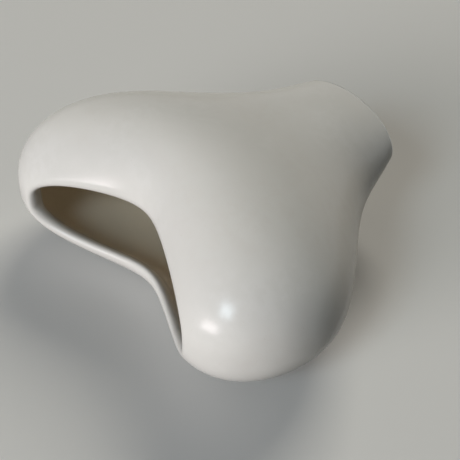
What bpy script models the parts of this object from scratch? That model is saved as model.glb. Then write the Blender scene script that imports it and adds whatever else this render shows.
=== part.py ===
"""A heart-shaped flower vase in satin off-white stoneware, lying level on its back.

The vase is one fired piece: an oval foot to stand on, a neck that widens above it, a full lobe on each side
and a wide mouth that dips into the cleft between the lobes. The outer skin is lofted upright, as the vase
stands in use, through seven sections from the foot to the rim. The foot lies in front of the axis, and the
back swells out behind it, so the vase also lies level on its back. The inner skin follows the outer one at
the depth of the wall, over a floor that closes the foot. The wall swells towards the mouth and ends in a
soft, rounded lip. The vase is then laid down.

In the world frame X runs across the lobes, the foot points to +Y, the mouth to -Y, and +Z is up.
"""

import math
from typing import NamedTuple

import bmesh
import bpy
import numpy as np
from mathutils import Vector

# Sizes in metres. Widths and depths are half sizes, measured from the upright axis.
# A rise is the step up from the section below it, at the side of the vase or at its centre.
# A lean is how far the widest line of a section lies in front of the axis. The hip, the lobe, the
# shoulder and the rim have theirs on the axis.
FOOT_WIDTH = 0.0425
FOOT_DEPTH = 0.025
FOOT_LEAN = 0.015
FOOT_ROUNDING = 0.002

ANKLE_WIDTH = 0.048
ANKLE_FRONT = 0.043
ANKLE_BACK = 0.0235
ANKLE_LEAN = 0.010
ANKLE_RISE = 0.017

NECK_WIDTH = 0.056
NECK_FRONT = 0.0455
NECK_BACK = 0.033
NECK_LEAN = 0.005
NECK_SIDE_RISE = 0.020
NECK_CENTRE_RISE = 0.017

HIP_WIDTH = 0.098
HIP_FRONT = 0.0505
HIP_BACK = 0.0445
HIP_SIDE_RISE = 0.054
HIP_CENTRE_RISE = 0.0385

LOBE_WIDTH = 0.120
LOBE_FRONT = 0.0585
LOBE_BACK = 0.0455
LOBE_SIDE_RISE = 0.0425
LOBE_CENTRE_RISE = 0.0365

SHOULDER_WIDTH = 0.110
SHOULDER_FRONT = 0.0535
SHOULDER_BACK = 0.043
SHOULDER_SIDE_RISE = 0.0435
SHOULDER_CENTRE_RISE = 0.0365

RIM_WIDTH = 0.0805
RIM_FRONT = 0.031
RIM_BACK = 0.029
RIM_SIDE_RISE = 0.0185
RIM_CENTRE_RISE = 0.0185

# The floor is the thickness between the foot face and the hollow.
# The wall swells to the thickness of the lip over the lip's reach below the rim, and swells more
# at both ends of the mouth: a higher focus keeps that closer to the very ends. Beyond the rim the
# lip runs on by its length, as half an ellipse.
WALL = 0.0055
FLOOR = 0.006
LIP_THICKNESS = 0.0075
LIP_END_THICKNESS = 0.011
LIP_END_FOCUS = 4
LIP_LENGTH = 0.006
LIP_REACH = 0.022

# Superellipse exponent of a section: a plain ellipse at the foot, squarer at the rim.
FOOT_SQUARENESS = 2.0
RIM_SQUARENESS = 2.6
# Half width of the rounded bottom of the cleft, as a share of the section's own half width.
CLEFT_ROUNDING = 0.24

# Fineness of the skins: rings from foot to rim, points round each ring, and how much closer
# together the rings lie at both ends than in the middle.
RINGS = 30
RING_POINTS = 72
END_CROWDING = 0.6
LIP_STEPS = 6
FOOT_STEPS = 2

GLAZE_COLOUR = (0.72, 0.70, 0.65, 1.0)
GLAZE_ROUGHNESS = 0.38
BARE_CLAY_COLOUR = (0.62, 0.56, 0.47, 1.0)
BARE_CLAY_ROUGHNESS = 0.9


class Section(NamedTuple):
    """One section of the body; its outline climbs or dips from the side height to the centre height."""

    width: float
    front: float
    back: float
    lean: float
    side_height: float
    centre_height: float

    def next(self, width, front, back, lean, side_rise, centre_rise):
        side = self.side_height + side_rise
        centre = self.centre_height + centre_rise
        return Section(width, front, back, lean, side, centre)


def body_sections():
    """The seven sections from foot to rim, one row of numbers each."""
    foot = Section(FOOT_WIDTH, FOOT_DEPTH + FOOT_LEAN, FOOT_DEPTH - FOOT_LEAN, FOOT_LEAN, 0.0, 0.0)
    ankle = foot.next(ANKLE_WIDTH, ANKLE_FRONT, ANKLE_BACK, ANKLE_LEAN, ANKLE_RISE, ANKLE_RISE)
    neck = ankle.next(NECK_WIDTH, NECK_FRONT, NECK_BACK, NECK_LEAN, NECK_SIDE_RISE, NECK_CENTRE_RISE)
    hip = neck.next(HIP_WIDTH, HIP_FRONT, HIP_BACK, 0.0, HIP_SIDE_RISE, HIP_CENTRE_RISE)
    lobe = hip.next(LOBE_WIDTH, LOBE_FRONT, LOBE_BACK, 0.0, LOBE_SIDE_RISE, LOBE_CENTRE_RISE)
    shoulder = lobe.next(
        SHOULDER_WIDTH, SHOULDER_FRONT, SHOULDER_BACK, 0.0, SHOULDER_SIDE_RISE, SHOULDER_CENTRE_RISE
    )
    rim = shoulder.next(RIM_WIDTH, RIM_FRONT, RIM_BACK, 0.0, RIM_SIDE_RISE, RIM_CENTRE_RISE)
    return np.array([foot, ankle, neck, hip, lobe, shoulder, rim])


def distances_along(sections):
    """Place of each section between foot (0) and rim (1), by the mean length of its side and its centre."""
    width, front, back, _, side, centre = sections.T
    depth = (front + back) / 2
    side_steps = np.hypot(np.diff(width), np.diff(side))
    centre_steps = np.hypot(np.diff(depth), np.diff(centre))
    along = np.concatenate([[0.0], np.cumsum(side_steps + centre_steps)])
    return along / along[-1]


def smooth_curve(knots, values, places):
    """Cubic spline through the values, whose first two and last two spans each share one cubic."""
    gap = np.diff(knots)
    slope = np.diff(values, axis=0) / gap[:, None]
    system = np.zeros((len(knots), len(knots)))
    turn = np.zeros(values.shape)
    system[0, :3] = gap[1], -gap[0] - gap[1], gap[0]
    system[-1, -3:] = gap[-1], -gap[-2] - gap[-1], gap[-2]
    for i in range(1, len(knots) - 1):
        system[i, i - 1 : i + 2] = gap[i - 1], 2 * (gap[i - 1] + gap[i]), gap[i]
        turn[i] = 6 * (slope[i] - slope[i - 1])
    bend = np.linalg.solve(system, turn)

    span = np.clip(np.searchsorted(knots, places) - 1, 0, len(gap) - 1)
    step = (places - knots[span])[:, None]
    width = gap[span][:, None]
    tangent = slope[span] - width * (2 * bend[span] + bend[span + 1]) / 6
    twist = (bend[span + 1] - bend[span]) / (6 * width)
    return values[span] + step * tangent + step**2 * bend[span] / 2 + step**3 * twist


def ring_angles():
    return np.linspace(0, 2 * math.pi, RING_POINTS, endpoint=False)


def ring_points(section, along):
    """Points of one ring in the upright vase: X across, +Y the front, Z up."""
    width, front, back, lean, side_height, centre_height = section
    squareness = FOOT_SQUARENESS + (RIM_SQUARENESS - FOOT_SQUARENESS) * along**2
    across = np.cos(ring_angles())
    deep = np.sin(ring_angles())
    # Moved out from the unit circle onto the superellipse.
    stretch = (np.abs(across) ** squareness + np.abs(deep) ** squareness) ** (-1 / squareness)
    across = across * stretch
    deep = deep * stretch
    # A V from side to side, with its bottom rounded off.
    cleft = np.hypot(across, CLEFT_ROUNDING) - CLEFT_ROUNDING
    cleft = cleft / (math.hypot(1, CLEFT_ROUNDING) - CLEFT_ROUNDING)
    x = width * across
    y = lean + np.where(deep >= 0, front - lean, back + lean) * deep
    z = centre_height + (side_height - centre_height) * cleft
    return np.stack([x, y, z], axis=1)


def unit(vectors):
    return vectors / np.linalg.norm(vectors, axis=-1, keepdims=True)


def outer_skin():
    """Rings of points from foot to rim, with the directions out of the skin and on towards the rim."""
    sections = body_sections()
    even = np.linspace(0, 1, RINGS)
    places = even - END_CROWDING * np.sin(2 * math.pi * even) / (2 * math.pi)
    rows = smooth_curve(distances_along(sections), sections, places)
    rings = np.array([ring_points(row, along) for row, along in zip(rows, places)])
    around = np.roll(rings, -1, axis=1) - np.roll(rings, 1, axis=1)
    outward = unit(np.cross(around, np.gradient(rings, axis=0, edge_order=2)))
    onward = unit(np.cross(outward, around))
    return rings, outward, onward


def wall_thickness(rings):
    """Thickness at each point: the plain wall, swelling smoothly to the lip near the rim."""
    steps = np.linalg.norm(np.diff(rings, axis=0), axis=2)
    from_foot = np.concatenate([np.zeros((1, RING_POINTS)), np.cumsum(steps, axis=0)])
    nearness = np.clip(1 - (from_foot[-1] - from_foot) / LIP_REACH, 0, 1)
    swell = nearness**2 * (3 - 2 * nearness)
    towards_ends = np.cos(ring_angles()) ** LIP_END_FOCUS
    lip = LIP_THICKNESS + (LIP_END_THICKNESS - LIP_THICKNESS) * towards_ends
    return WALL + (lip - WALL) * swell


def shell_rings():
    """All rings of the shell: up the outside, over the lip in half an ellipse, and down the inside."""
    outside, outward, onward = outer_skin()
    inside = outside - outward * wall_thickness(outside)[..., None]
    # Eased up off the foot, so that the lowest ring inside lies on top of the floor.
    inside[..., 2] = np.hypot(inside[..., 2], FLOOR)
    middle = (outside[-1] + inside[-1]) / 2
    half_wall = (outside[-1] - inside[-1]) / 2
    lip = [
        middle + math.cos(turn) * half_wall + math.sin(turn) * LIP_LENGTH * onward[-1]
        for turn in np.linspace(0, math.pi, LIP_STEPS + 1)[1:-1]
    ]
    return [*outside, *lip, *inside[::-1]]


def shell_mesh():
    """The closed shell: its rings joined up, a floor inside, and a flat foot face that is left bare."""
    shell = bmesh.new()
    rings = [[shell.verts.new(point) for point in ring] for ring in shell_rings()]
    for ring, following in zip(rings, rings[1:]):
        for i in range(RING_POINTS):
            j = (i + 1) % RING_POINTS
            shell.faces.new((ring[i], ring[j], following[j], following[i]))
    shell.faces.new(rings[-1])
    foot_face = shell.faces.new(reversed(rings[0]))
    shell.normal_update()
    bmesh.ops.bevel(
        shell,
        geom=list(foot_face.edges),
        offset=FOOT_ROUNDING,
        segments=FOOT_STEPS,
        profile=0.5,
        affect="EDGES",
    )
    for face in shell.faces:
        face.smooth = True
    bare_face = min(shell.faces, key=lambda face: face.calc_center_median().z)
    bare_face.smooth = False
    bare_face.material_index = 1

    mesh = bpy.data.meshes.new("vase_body")
    shell.to_mesh(mesh)
    shell.free()
    return mesh


def plain_material(name, colour, roughness):
    material = bpy.data.materials.new(name)
    material.use_nodes = True
    shader = material.node_tree.nodes["Principled BSDF"]
    shader.inputs["Base Color"].default_value = colour
    shader.inputs["Roughness"].default_value = roughness
    shader.inputs["Metallic"].default_value = 0.0
    return material


def make_body():
    body = bpy.data.objects.new("vase_body", shell_mesh())
    bpy.context.scene.collection.objects.link(body)
    body.data.materials.append(plain_material("satin_glaze", GLAZE_COLOUR, GLAZE_ROUGHNESS))
    body.data.materials.append(plain_material("bare_clay", BARE_CLAY_COLOUR, BARE_CLAY_ROUGHNESS))
    return body


def lay_down(body):
    """Turns the upright vase onto its back and centres it over the origin, just touching the floor."""
    body.rotation_euler.x = math.radians(90)
    bpy.context.view_layer.update()
    corners = np.array([body.matrix_world @ Vector(corner) for corner in body.bound_box])
    lowest = corners.min(axis=0)
    highest = corners.max(axis=0)
    body.location = (-(lowest[0] + highest[0]) / 2, -(lowest[1] + highest[1]) / 2, -lowest[2])


def main():
    for leftover in list(bpy.data.objects):
        bpy.data.objects.remove(leftover, do_unlink=True)
    lay_down(make_body())
    bpy.context.view_layer.update()


main()
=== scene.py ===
"""Looks of a heart-shaped flower vase in satin off-white stoneware, lying level on its back.

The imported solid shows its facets, so a finer skin of the same vase stands in for it. That skin is lofted upright
through the same seven sections, from the foot to the rim, and has the same wall, floor and rounded lip. It is
then laid down where the solid lies: X runs across the lobes, the foot points to +Y, the mouth to -Y, and +Z is up.
"""

import math

import bmesh
import bpy
import numpy as np
from mathutils import Matrix, Vector


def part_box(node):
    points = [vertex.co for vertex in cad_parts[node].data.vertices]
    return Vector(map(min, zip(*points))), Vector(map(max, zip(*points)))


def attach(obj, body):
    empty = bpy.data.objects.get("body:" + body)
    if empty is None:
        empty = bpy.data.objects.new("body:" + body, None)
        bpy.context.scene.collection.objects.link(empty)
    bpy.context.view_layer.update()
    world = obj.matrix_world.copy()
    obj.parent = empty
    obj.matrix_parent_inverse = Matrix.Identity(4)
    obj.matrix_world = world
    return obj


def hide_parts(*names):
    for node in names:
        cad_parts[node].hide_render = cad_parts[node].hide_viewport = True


# Sections of the body in metres, upright: half width, reach to the front and to the back, how far the widest
# line lies in front of the axis, and the height of the section at the side of the vase and at its centre.
SECTIONS = {
    "foot": (0.0425, 0.040, 0.010, 0.015, 0.0, 0.0),
    "ankle": (0.048, 0.043, 0.0235, 0.010, 0.017, 0.017),
    "neck": (0.056, 0.0455, 0.033, 0.005, 0.037, 0.034),
    "hip": (0.098, 0.0505, 0.0445, 0.0, 0.091, 0.0725),
    "lobe": (0.120, 0.0585, 0.0455, 0.0, 0.1335, 0.109),
    "shoulder": (0.110, 0.0535, 0.043, 0.0, 0.177, 0.1455),
    "rim": (0.0805, 0.031, 0.029, 0.0, 0.1955, 0.164),
}
FOOT_ROUNDING = 0.002
FOOT_SQUARENESS = 2.0
RIM_SQUARENESS = 2.6
CLEFT_ROUNDING = 0.24
WALL = 0.0055
FLOOR = 0.006

# The lip: the wall swells over its reach, and most at both ends of the mouth. There the top also leans outwards,
# by this share of half the wall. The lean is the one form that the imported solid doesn't have.
LIP_THICKNESS = 0.0075
LIP_END_THICKNESS = 0.011
LIP_END_FOCUS = 4
LIP_REACH = 0.022
LIP_LENGTH = 0.006
LIP_END_LEAN = 0.42
LIP_LEAN_FOCUS = 2

# Fineness of the shown skin.
RINGS = 150
RING_POINTS = 288
LIP_STEPS = 20
FOOT_STEPS = 5
ROUND_PROFILE = 0.5

# The glaze. Inside the mouth it turns warmer over the fade's length: partly thinner glaze, partly painted warm
# light bounced around inside the cavity.
INSIDE_TINT_FADE = 0.025
GLAZE_RAN_THIN = (0.685, 0.665, 0.628, 1)
GLAZE_POOLED = (0.715, 0.700, 0.668, 1)
GLAZE_MOTTLE = (0.695, 0.680, 0.645, 1)
GLAZE_SPECK = (0.66, 0.63, 0.58, 1)
# Colour deep inside the mouth: painted warm bounce light of the cavity, together with thinner glaze.
GLAZE_INSIDE_BOUNCE_TINT = (0.76, 0.685, 0.56, 1)
GLAZE_ROUGHNESS = (0.19, 0.24)
GLAZE_IOR = 1.5

# Sizes of what is on the glaze and on the clay, and heights of what stands out, in metres.
CLOUD_SIZE = 0.055
MOTTLE_SIZE = 0.006
SPECK_SIZE = 0.0011
SHEEN_SIZE = 0.018
WAVE_SIZE, WAVE_HEIGHT = 0.030, 0.0006
GRAIN_SIZE, GRAIN_HEIGHT = 0.0012, 0.00003
SAND_SIZE, SAND_HEIGHT = 0.0012, 0.00008
STAIN_SIZE = 0.014

# Ranges of the noise over which each of them fades in.
BLOTCHES = (0.35, 0.65)
SPECKS = (0.72, 0.80)
SHEEN = (0.3, 0.7)
STAINS = (0.35, 0.7)

CLAY_DARK = (0.55, 0.49, 0.41, 1)
CLAY_PALE = (0.68, 0.62, 0.54, 1)
CLAY_STAIN = (0.61, 0.55, 0.47, 1)
CLAY_ROUGHNESS = 0.9

# The studio. What is seen is pale, while the floor throws little light back at the vase and the world none.
FLOOR_REACH = 2.0
FLOOR_SEEN = (0.74, 0.735, 0.72, 1)
FLOOR_FELT = (0.10, 0.095, 0.085, 1)
FLOOR_ROUGHNESS = 0.9
FLOOR_SHEEN = 0.2
WORLD_SEEN = (0.60, 0.60, 0.59, 1)
WORLD_FELT = (0.0, 0.0, 0.0, 1)

# Lamps: azimuth, elevation, distance, width, height, power and colour. Azimuth 0 is the -Y side, 90 the +X side.
# Only the windows show in the glaze, as in the photo.
WINDOWS = {
    "low_window": (0.5, 5.8, 6, 2.2, 1.5, 86, (1.0, 0.925, 0.96)),
    "high_window": (14.8, 36.2, 6, 1.6, 1.5, 76, (0.76, 0.91, 1.0)),
}
FILLS = {
    "low_fill": (1, 10, 6.4, 4.0, 2.2, 178, (1.0, 0.95, 0.93)),
    "front_fill": (13, 18, 6.4, 4.0, 2.4, 103, (0.99, 1.0, 0.96)),
    "back_fill": (-152, 43, 6.4, 3.6, 2.8, 212, (1.0, 0.96, 0.86)),
}

# The camera: lens in mm on a 36 mm sensor, angles in degrees, lengths in metres.
LENS = 72.0
AZIMUTH = 48.662
ELEVATION = 40.645
ROLL = 1.38
DISTANCE = 0.56631
OFFSET = (-0.002935, -0.020384)
NEAREST_SEEN = 0.01
TARGET = Vector((0, 0.00305, 0.04557))

# Sockets of a Mix node that blends colours.
MIX_SHARE, MIX_FIRST, MIX_SECOND, MIX_RESULT = 0, 6, 7, 2


def distances_along(sections):
    """Place of each section between foot (0) and rim (1), by the mean length of its side and its centre."""
    width, front, back, _, side, centre = sections.T
    depth = (front + back) / 2
    side_steps = np.hypot(np.diff(width), np.diff(side))
    centre_steps = np.hypot(np.diff(depth), np.diff(centre))
    along = np.concatenate([[0.0], np.cumsum(side_steps + centre_steps)])
    return along / along[-1]


def smooth_curve(knots, values, places):
    """Cubic spline through the values, whose first two and last two spans each share one cubic."""
    gap = np.diff(knots)
    slope = np.diff(values, axis=0) / gap[:, None]
    system = np.zeros((len(knots), len(knots)))
    turn = np.zeros(values.shape)
    system[0, :3] = gap[1], -gap[0] - gap[1], gap[0]
    system[-1, -3:] = gap[-1], -gap[-2] - gap[-1], gap[-2]
    for i in range(1, len(knots) - 1):
        system[i, i - 1 : i + 2] = gap[i - 1], 2 * (gap[i - 1] + gap[i]), gap[i]
        turn[i] = 6 * (slope[i] - slope[i - 1])
    bend = np.linalg.solve(system, turn)

    span = np.clip(np.searchsorted(knots, places) - 1, 0, len(gap) - 1)
    step = (places - knots[span])[:, None]
    width = gap[span][:, None]
    tangent = slope[span] - width * (2 * bend[span] + bend[span + 1]) / 6
    twist = (bend[span + 1] - bend[span]) / (6 * width)
    return values[span] + step * tangent + step**2 * bend[span] / 2 + step**3 * twist


def ring_angles():
    return np.linspace(0, 2 * math.pi, RING_POINTS, endpoint=False)


def ring_points(section, along):
    """Points of one ring in the upright vase: X across, +Y the front, Z up."""
    width, front, back, lean, side_height, centre_height = section
    squareness = FOOT_SQUARENESS + (RIM_SQUARENESS - FOOT_SQUARENESS) * along**2
    across = np.cos(ring_angles())
    deep = np.sin(ring_angles())
    stretch = (np.abs(across) ** squareness + np.abs(deep) ** squareness) ** (-1 / squareness)
    across = across * stretch
    deep = deep * stretch
    cleft = np.hypot(across, CLEFT_ROUNDING) - CLEFT_ROUNDING
    cleft = cleft / (math.hypot(1, CLEFT_ROUNDING) - CLEFT_ROUNDING)
    x = width * across
    y = lean + np.where(deep >= 0, front - lean, back + lean) * deep
    z = centre_height + (side_height - centre_height) * cleft
    return np.stack([x, y, z], axis=1)


def unit(vectors):
    return vectors / np.linalg.norm(vectors, axis=-1, keepdims=True)


def outer_skin():
    """Rings of points from foot to rim, with the directions out of the skin and on towards the rim."""
    sections = np.array(list(SECTIONS.values()))
    places = np.linspace(0, 1, RINGS)
    rows = smooth_curve(distances_along(sections), sections, places)
    rings = np.array([ring_points(row, along) for row, along in zip(rows, places)])
    around = np.roll(rings, -1, axis=1) - np.roll(rings, 1, axis=1)
    outward = unit(np.cross(around, np.gradient(rings, axis=0, edge_order=2)))
    onward = unit(np.cross(outward, around))
    return rings, outward, onward


def lengths_along(steps):
    """How far each ring's points lie from the first ring, given the steps from ring to ring."""
    return np.concatenate([np.zeros((1, RING_POINTS)), np.cumsum(steps, axis=0)])


def wall_thickness(rings):
    """Thickness at each point: the plain wall, swelling smoothly to the lip near the rim."""
    from_foot = lengths_along(np.linalg.norm(np.diff(rings, axis=0), axis=2))
    nearness = np.clip(1 - (from_foot[-1] - from_foot) / LIP_REACH, 0, 1)
    swell = nearness**2 * (3 - 2 * nearness)
    towards_ends = np.cos(ring_angles()) ** LIP_END_FOCUS
    lip = LIP_THICKNESS + (LIP_END_THICKNESS - LIP_THICKNESS) * towards_ends
    return WALL + (lip - WALL) * swell


def shell_rings():
    """All rings of the shell: up the outside, over the lip in half an ellipse, and down the inside."""
    outside, outward, onward = outer_skin()
    inside = outside - outward * wall_thickness(outside)[..., None]
    inside[..., 2] = np.hypot(inside[..., 2], FLOOR)
    middle = (outside[-1] + inside[-1]) / 2
    half_wall = (outside[-1] - inside[-1]) / 2
    lean = LIP_END_LEAN * np.cos(ring_angles())[:, None] ** LIP_LEAN_FOCUS
    lip = [
        middle
        + (math.cos(turn) + lean * math.sin(turn) ** 2) * half_wall
        + math.sin(turn) * LIP_LENGTH * onward[-1]
        for turn in np.linspace(0, math.pi, LIP_STEPS + 1)[1:-1]
    ]
    return [*outside, *lip, *inside[::-1]]


def laid_down(rings):
    """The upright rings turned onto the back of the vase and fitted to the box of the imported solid."""
    x, y, z = np.moveaxis(np.array(rings), -1, 0)
    rings = np.stack([x, -z, y], axis=-1)
    low, high = (np.array(corner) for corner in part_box("vase_body"))
    start = rings.min(axis=(0, 1))
    end = rings.max(axis=(0, 1))
    return low + (rings - start) * (high - low) / (end - start)


def depths_inside(rings):
    """How far inside the mouth each point lies: 0 outside and on the lip, and 1 past the fade of the warmer inside
    colour.
    """
    steps = np.linalg.norm(np.diff(rings, axis=0), axis=2)
    steps[: RINGS + LIP_STEPS - 1] = 0
    return np.minimum(lengths_along(steps) / INSIDE_TINT_FADE, 1)


def vase_skin(glaze, clay):
    """The fine skin as a mesh object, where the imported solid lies."""
    shell = bmesh.new()
    # The layer comes first, because adding it would make existing verts invalid.
    inside = shell.verts.layers.float.new("inside")
    points = laid_down(shell_rings())
    rings = [[shell.verts.new(point) for point in ring] for ring in points]
    for ring, depths in zip(rings, depths_inside(points)):
        for vert, depth in zip(ring, depths):
            vert[inside] = depth
    for ring, following in zip(rings, rings[1:]):
        for i in range(RING_POINTS):
            j = (i + 1) % RING_POINTS
            shell.faces.new((ring[i], ring[j], following[j], following[i]))
    shell.faces.new(rings[-1])
    foot_face = shell.faces.new(reversed(rings[0]))
    shell.normal_update()
    bmesh.ops.bevel(
        shell,
        geom=list(foot_face.edges),
        offset=FOOT_ROUNDING,
        segments=FOOT_STEPS,
        profile=ROUND_PROFILE,
        affect="EDGES",
    )
    for face in shell.faces:
        face.smooth = True
    bare_face = max(shell.faces, key=lambda face: face.calc_center_median().y)
    bare_face.smooth = False
    bare_face.material_index = 1
    mesh = bpy.data.meshes.new("glazed_vase")
    shell.to_mesh(mesh)
    shell.free()
    mesh.materials.append(glaze)
    mesh.materials.append(clay)
    vase = bpy.data.objects.new("glazed_vase", mesh)
    bpy.context.scene.collection.objects.link(vase)
    return vase


def blend_colours(tree, share, first, second):
    """A colour between two colours, each a node's output or plain numbers."""
    node = tree.nodes.new("ShaderNodeMix")
    node.data_type = "RGBA"
    tree.links.new(share, node.inputs[MIX_SHARE])
    for colour, socket in ((first, node.inputs[MIX_FIRST]), (second, node.inputs[MIX_SECOND])):
        if isinstance(colour, tuple):
            socket.default_value = colour
        else:
            tree.links.new(colour, socket)
    return node.outputs[MIX_RESULT]


class Nodes:
    """A material's node tree, with short calls to add nodes and links."""

    def __init__(self, name):
        self.material = bpy.data.materials.new(name)
        self.material.use_nodes = True
        self.tree = self.material.node_tree
        self.shader = self.tree.nodes["Principled BSDF"]
        self.place = self.add("ShaderNodeTexCoord").outputs["Object"]

    def add(self, kind, **settings):
        node = self.tree.nodes.new(kind)
        for name, value in settings.items():
            setattr(node, name, value)
        return node

    def link(self, source, target):
        self.tree.links.new(source, target)

    def noise(self, size, detail=2.0, roughness=0.5, warp=0.0):
        """Noise between 0 and 1 whose blotches are about this size, in metres."""
        node = self.add("ShaderNodeTexNoise")
        node.inputs["Scale"].default_value = 1 / size
        node.inputs["Detail"].default_value = detail
        node.inputs["Roughness"].default_value = roughness
        node.inputs["Distortion"].default_value = warp
        self.link(self.place, node.inputs["Vector"])
        return node.outputs["Fac"]

    def spread(self, value, span, to_span=(0.0, 1.0)):
        """Maps one span of a value to another, smoothly and without passing either end."""
        node = self.add("ShaderNodeMapRange", interpolation_type="SMOOTHSTEP")
        node.inputs["From Min"].default_value, node.inputs["From Max"].default_value = span
        node.inputs["To Min"].default_value, node.inputs["To Max"].default_value = to_span
        self.link(value, node.inputs["Value"])
        return node.outputs["Result"]

    def blend(self, share, first, second):
        return blend_colours(self.tree, share, first, second)

    def bump(self, height, distance, under=None):
        node = self.add("ShaderNodeBump")
        node.inputs["Distance"].default_value = distance
        self.link(height, node.inputs["Height"])
        if under:
            self.link(under, node.inputs["Normal"])
        return node.outputs["Normal"]


def satin_glaze():
    """Off-white satin glaze: cloudy where it pooled or ran thin, mottled, finely grained and uneven in gloss.

    Inside the mouth it turns warmer with depth: partly thinner glaze, partly painted warm light bounced around the
    cavity.
    """
    nodes = Nodes("satin_glaze_look")
    clouds = nodes.spread(nodes.noise(CLOUD_SIZE, detail=3.0, warp=0.4), BLOTCHES)
    mottle = nodes.spread(nodes.noise(MOTTLE_SIZE, detail=4.0), BLOTCHES)
    specks = nodes.spread(nodes.noise(SPECK_SIZE, detail=1.0), SPECKS)
    cloudy = nodes.blend(clouds, GLAZE_RAN_THIN, GLAZE_POOLED)
    mottled = nodes.blend(mottle, cloudy, GLAZE_MOTTLE)
    speckled = nodes.blend(specks, mottled, GLAZE_SPECK)
    inside = nodes.add("ShaderNodeAttribute", attribute_name="inside").outputs["Fac"]
    # Painted warm bounce light inside the mouth, with the thinner glaze there, fading in with depth.
    thinned_and_bounce_tinted = nodes.blend(nodes.spread(inside, (0.0, 1.0)), speckled, GLAZE_INSIDE_BOUNCE_TINT)
    nodes.link(thinned_and_bounce_tinted, nodes.shader.inputs["Base Color"])

    sheen = nodes.spread(nodes.noise(SHEEN_SIZE, detail=3.0), SHEEN, GLAZE_ROUGHNESS)
    nodes.link(sheen, nodes.shader.inputs["Roughness"])

    waves = nodes.bump(nodes.noise(WAVE_SIZE, detail=1.0), WAVE_HEIGHT)
    grain = nodes.bump(nodes.noise(GRAIN_SIZE, detail=3.0), GRAIN_HEIGHT, under=waves)
    nodes.link(grain, nodes.shader.inputs["Normal"])
    nodes.shader.inputs["IOR"].default_value = GLAZE_IOR
    return nodes.material


def bare_clay():
    """The unglazed face of the foot: warm, dull, sandy stoneware."""
    nodes = Nodes("bare_clay_look")
    sand = nodes.spread(nodes.noise(SAND_SIZE, detail=4.0, roughness=0.6), BLOTCHES)
    stains = nodes.spread(nodes.noise(STAIN_SIZE), STAINS)
    clay = nodes.blend(sand, CLAY_DARK, CLAY_PALE)
    nodes.link(nodes.blend(stains, clay, CLAY_STAIN), nodes.shader.inputs["Base Color"])
    nodes.shader.inputs["Roughness"].default_value = CLAY_ROUGHNESS
    nodes.link(nodes.bump(sand, SAND_HEIGHT), nodes.shader.inputs["Normal"])
    return nodes.material


def seen_by_eye(tree):
    """1 for rays from the camera, mirrors and glass, which show the pale studio, and 0 for light on its way."""
    path = tree.nodes.new("ShaderNodeLightPath")
    seen = path.outputs["Is Camera Ray"]
    for ray in ("Is Glossy Ray", "Is Transmission Ray"):
        either = tree.nodes.new("ShaderNodeMath")
        either.operation = "MAXIMUM"
        tree.links.new(seen, either.inputs[0])
        tree.links.new(path.outputs[ray], either.inputs[1])
        seen = either.outputs[0]
    return seen


def lay_floor():
    mesh = bpy.data.meshes.new("floor")
    corners = [(x * FLOOR_REACH, y * FLOOR_REACH, 0) for x, y in ((-1, -1), (1, -1), (1, 1), (-1, 1))]
    mesh.from_pydata(corners, [], [(0, 1, 2, 3)])
    floor = bpy.data.objects.new("floor", mesh)
    bpy.context.scene.collection.objects.link(floor)
    nodes = Nodes("plain_floor")
    colour = nodes.blend(seen_by_eye(nodes.tree), FLOOR_FELT, FLOOR_SEEN)
    nodes.link(colour, nodes.shader.inputs["Base Color"])
    nodes.shader.inputs["Roughness"].default_value = FLOOR_ROUGHNESS
    nodes.shader.inputs["Specular IOR Level"].default_value = FLOOR_SHEEN
    mesh.materials.append(nodes.material)


def direction(azimuth, elevation):
    """The direction from the vase towards these angles, in radians."""
    level = math.cos(elevation)
    return Vector((math.sin(azimuth) * level, -math.cos(azimuth) * level, math.sin(elevation)))


def hang_light(name, azimuth, elevation, distance, width, height, power, colour, shown):
    """A soft rectangular light that looks at the vase, and may show in its glaze."""
    lamp = bpy.data.lights.new(name, "AREA")
    lamp.shape = "RECTANGLE"
    lamp.size = width
    lamp.size_y = height
    lamp.energy = power
    lamp.color = colour
    away = direction(math.radians(azimuth), math.radians(elevation))
    light = bpy.data.objects.new(name, lamp)
    light.location = TARGET + away * distance
    light.rotation_mode = "QUATERNION"
    light.rotation_quaternion = away.to_track_quat("Z", "Y")
    light.visible_camera = False
    light.visible_glossy = shown
    bpy.context.scene.collection.objects.link(light)


def light_scene():
    for name, lamp in WINDOWS.items():
        hang_light(name, *lamp, shown=True)
    for name, lamp in FILLS.items():
        hang_light(name, *lamp, shown=False)

    world = bpy.data.worlds.new("studio")
    bpy.context.scene.world = world
    world.use_nodes = True
    tree = world.node_tree
    colour = blend_colours(tree, seen_by_eye(tree), WORLD_FELT, WORLD_SEEN)
    tree.links.new(colour, tree.nodes["Background"].inputs["Color"])


def place_camera():
    azimuth, elevation, roll = (math.radians(angle) for angle in (AZIMUTH, ELEVATION, ROLL))
    back = direction(azimuth, elevation)
    level = Vector((math.cos(azimuth), math.sin(azimuth), 0))
    upright = level.cross(-back)
    right = level * math.cos(roll) + upright * math.sin(roll)
    up = upright * math.cos(roll) - level * math.sin(roll)
    camera = bpy.data.objects.new("camera", bpy.data.cameras.new("camera"))
    camera.data.lens = LENS
    camera.data.clip_start = NEAREST_SEEN
    place = TARGET + back * DISTANCE + right * OFFSET[0] + up * OFFSET[1]
    camera.matrix_world = Matrix.Translation(place) @ Matrix((right, up, back)).transposed().to_4x4()
    bpy.context.scene.collection.objects.link(camera)
    bpy.context.scene.camera = camera


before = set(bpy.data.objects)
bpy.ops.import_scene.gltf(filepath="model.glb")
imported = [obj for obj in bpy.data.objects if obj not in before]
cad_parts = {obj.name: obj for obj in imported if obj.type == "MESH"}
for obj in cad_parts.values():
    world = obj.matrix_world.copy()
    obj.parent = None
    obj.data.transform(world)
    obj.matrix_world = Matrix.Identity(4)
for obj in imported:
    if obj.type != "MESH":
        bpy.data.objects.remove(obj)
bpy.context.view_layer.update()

bpy.context.scene.view_settings.view_transform = "Standard"
place_camera()
lay_floor()
light_scene()

vase = vase_skin(satin_glaze(), bare_clay())
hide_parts("vase_body")
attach(vase, "root")
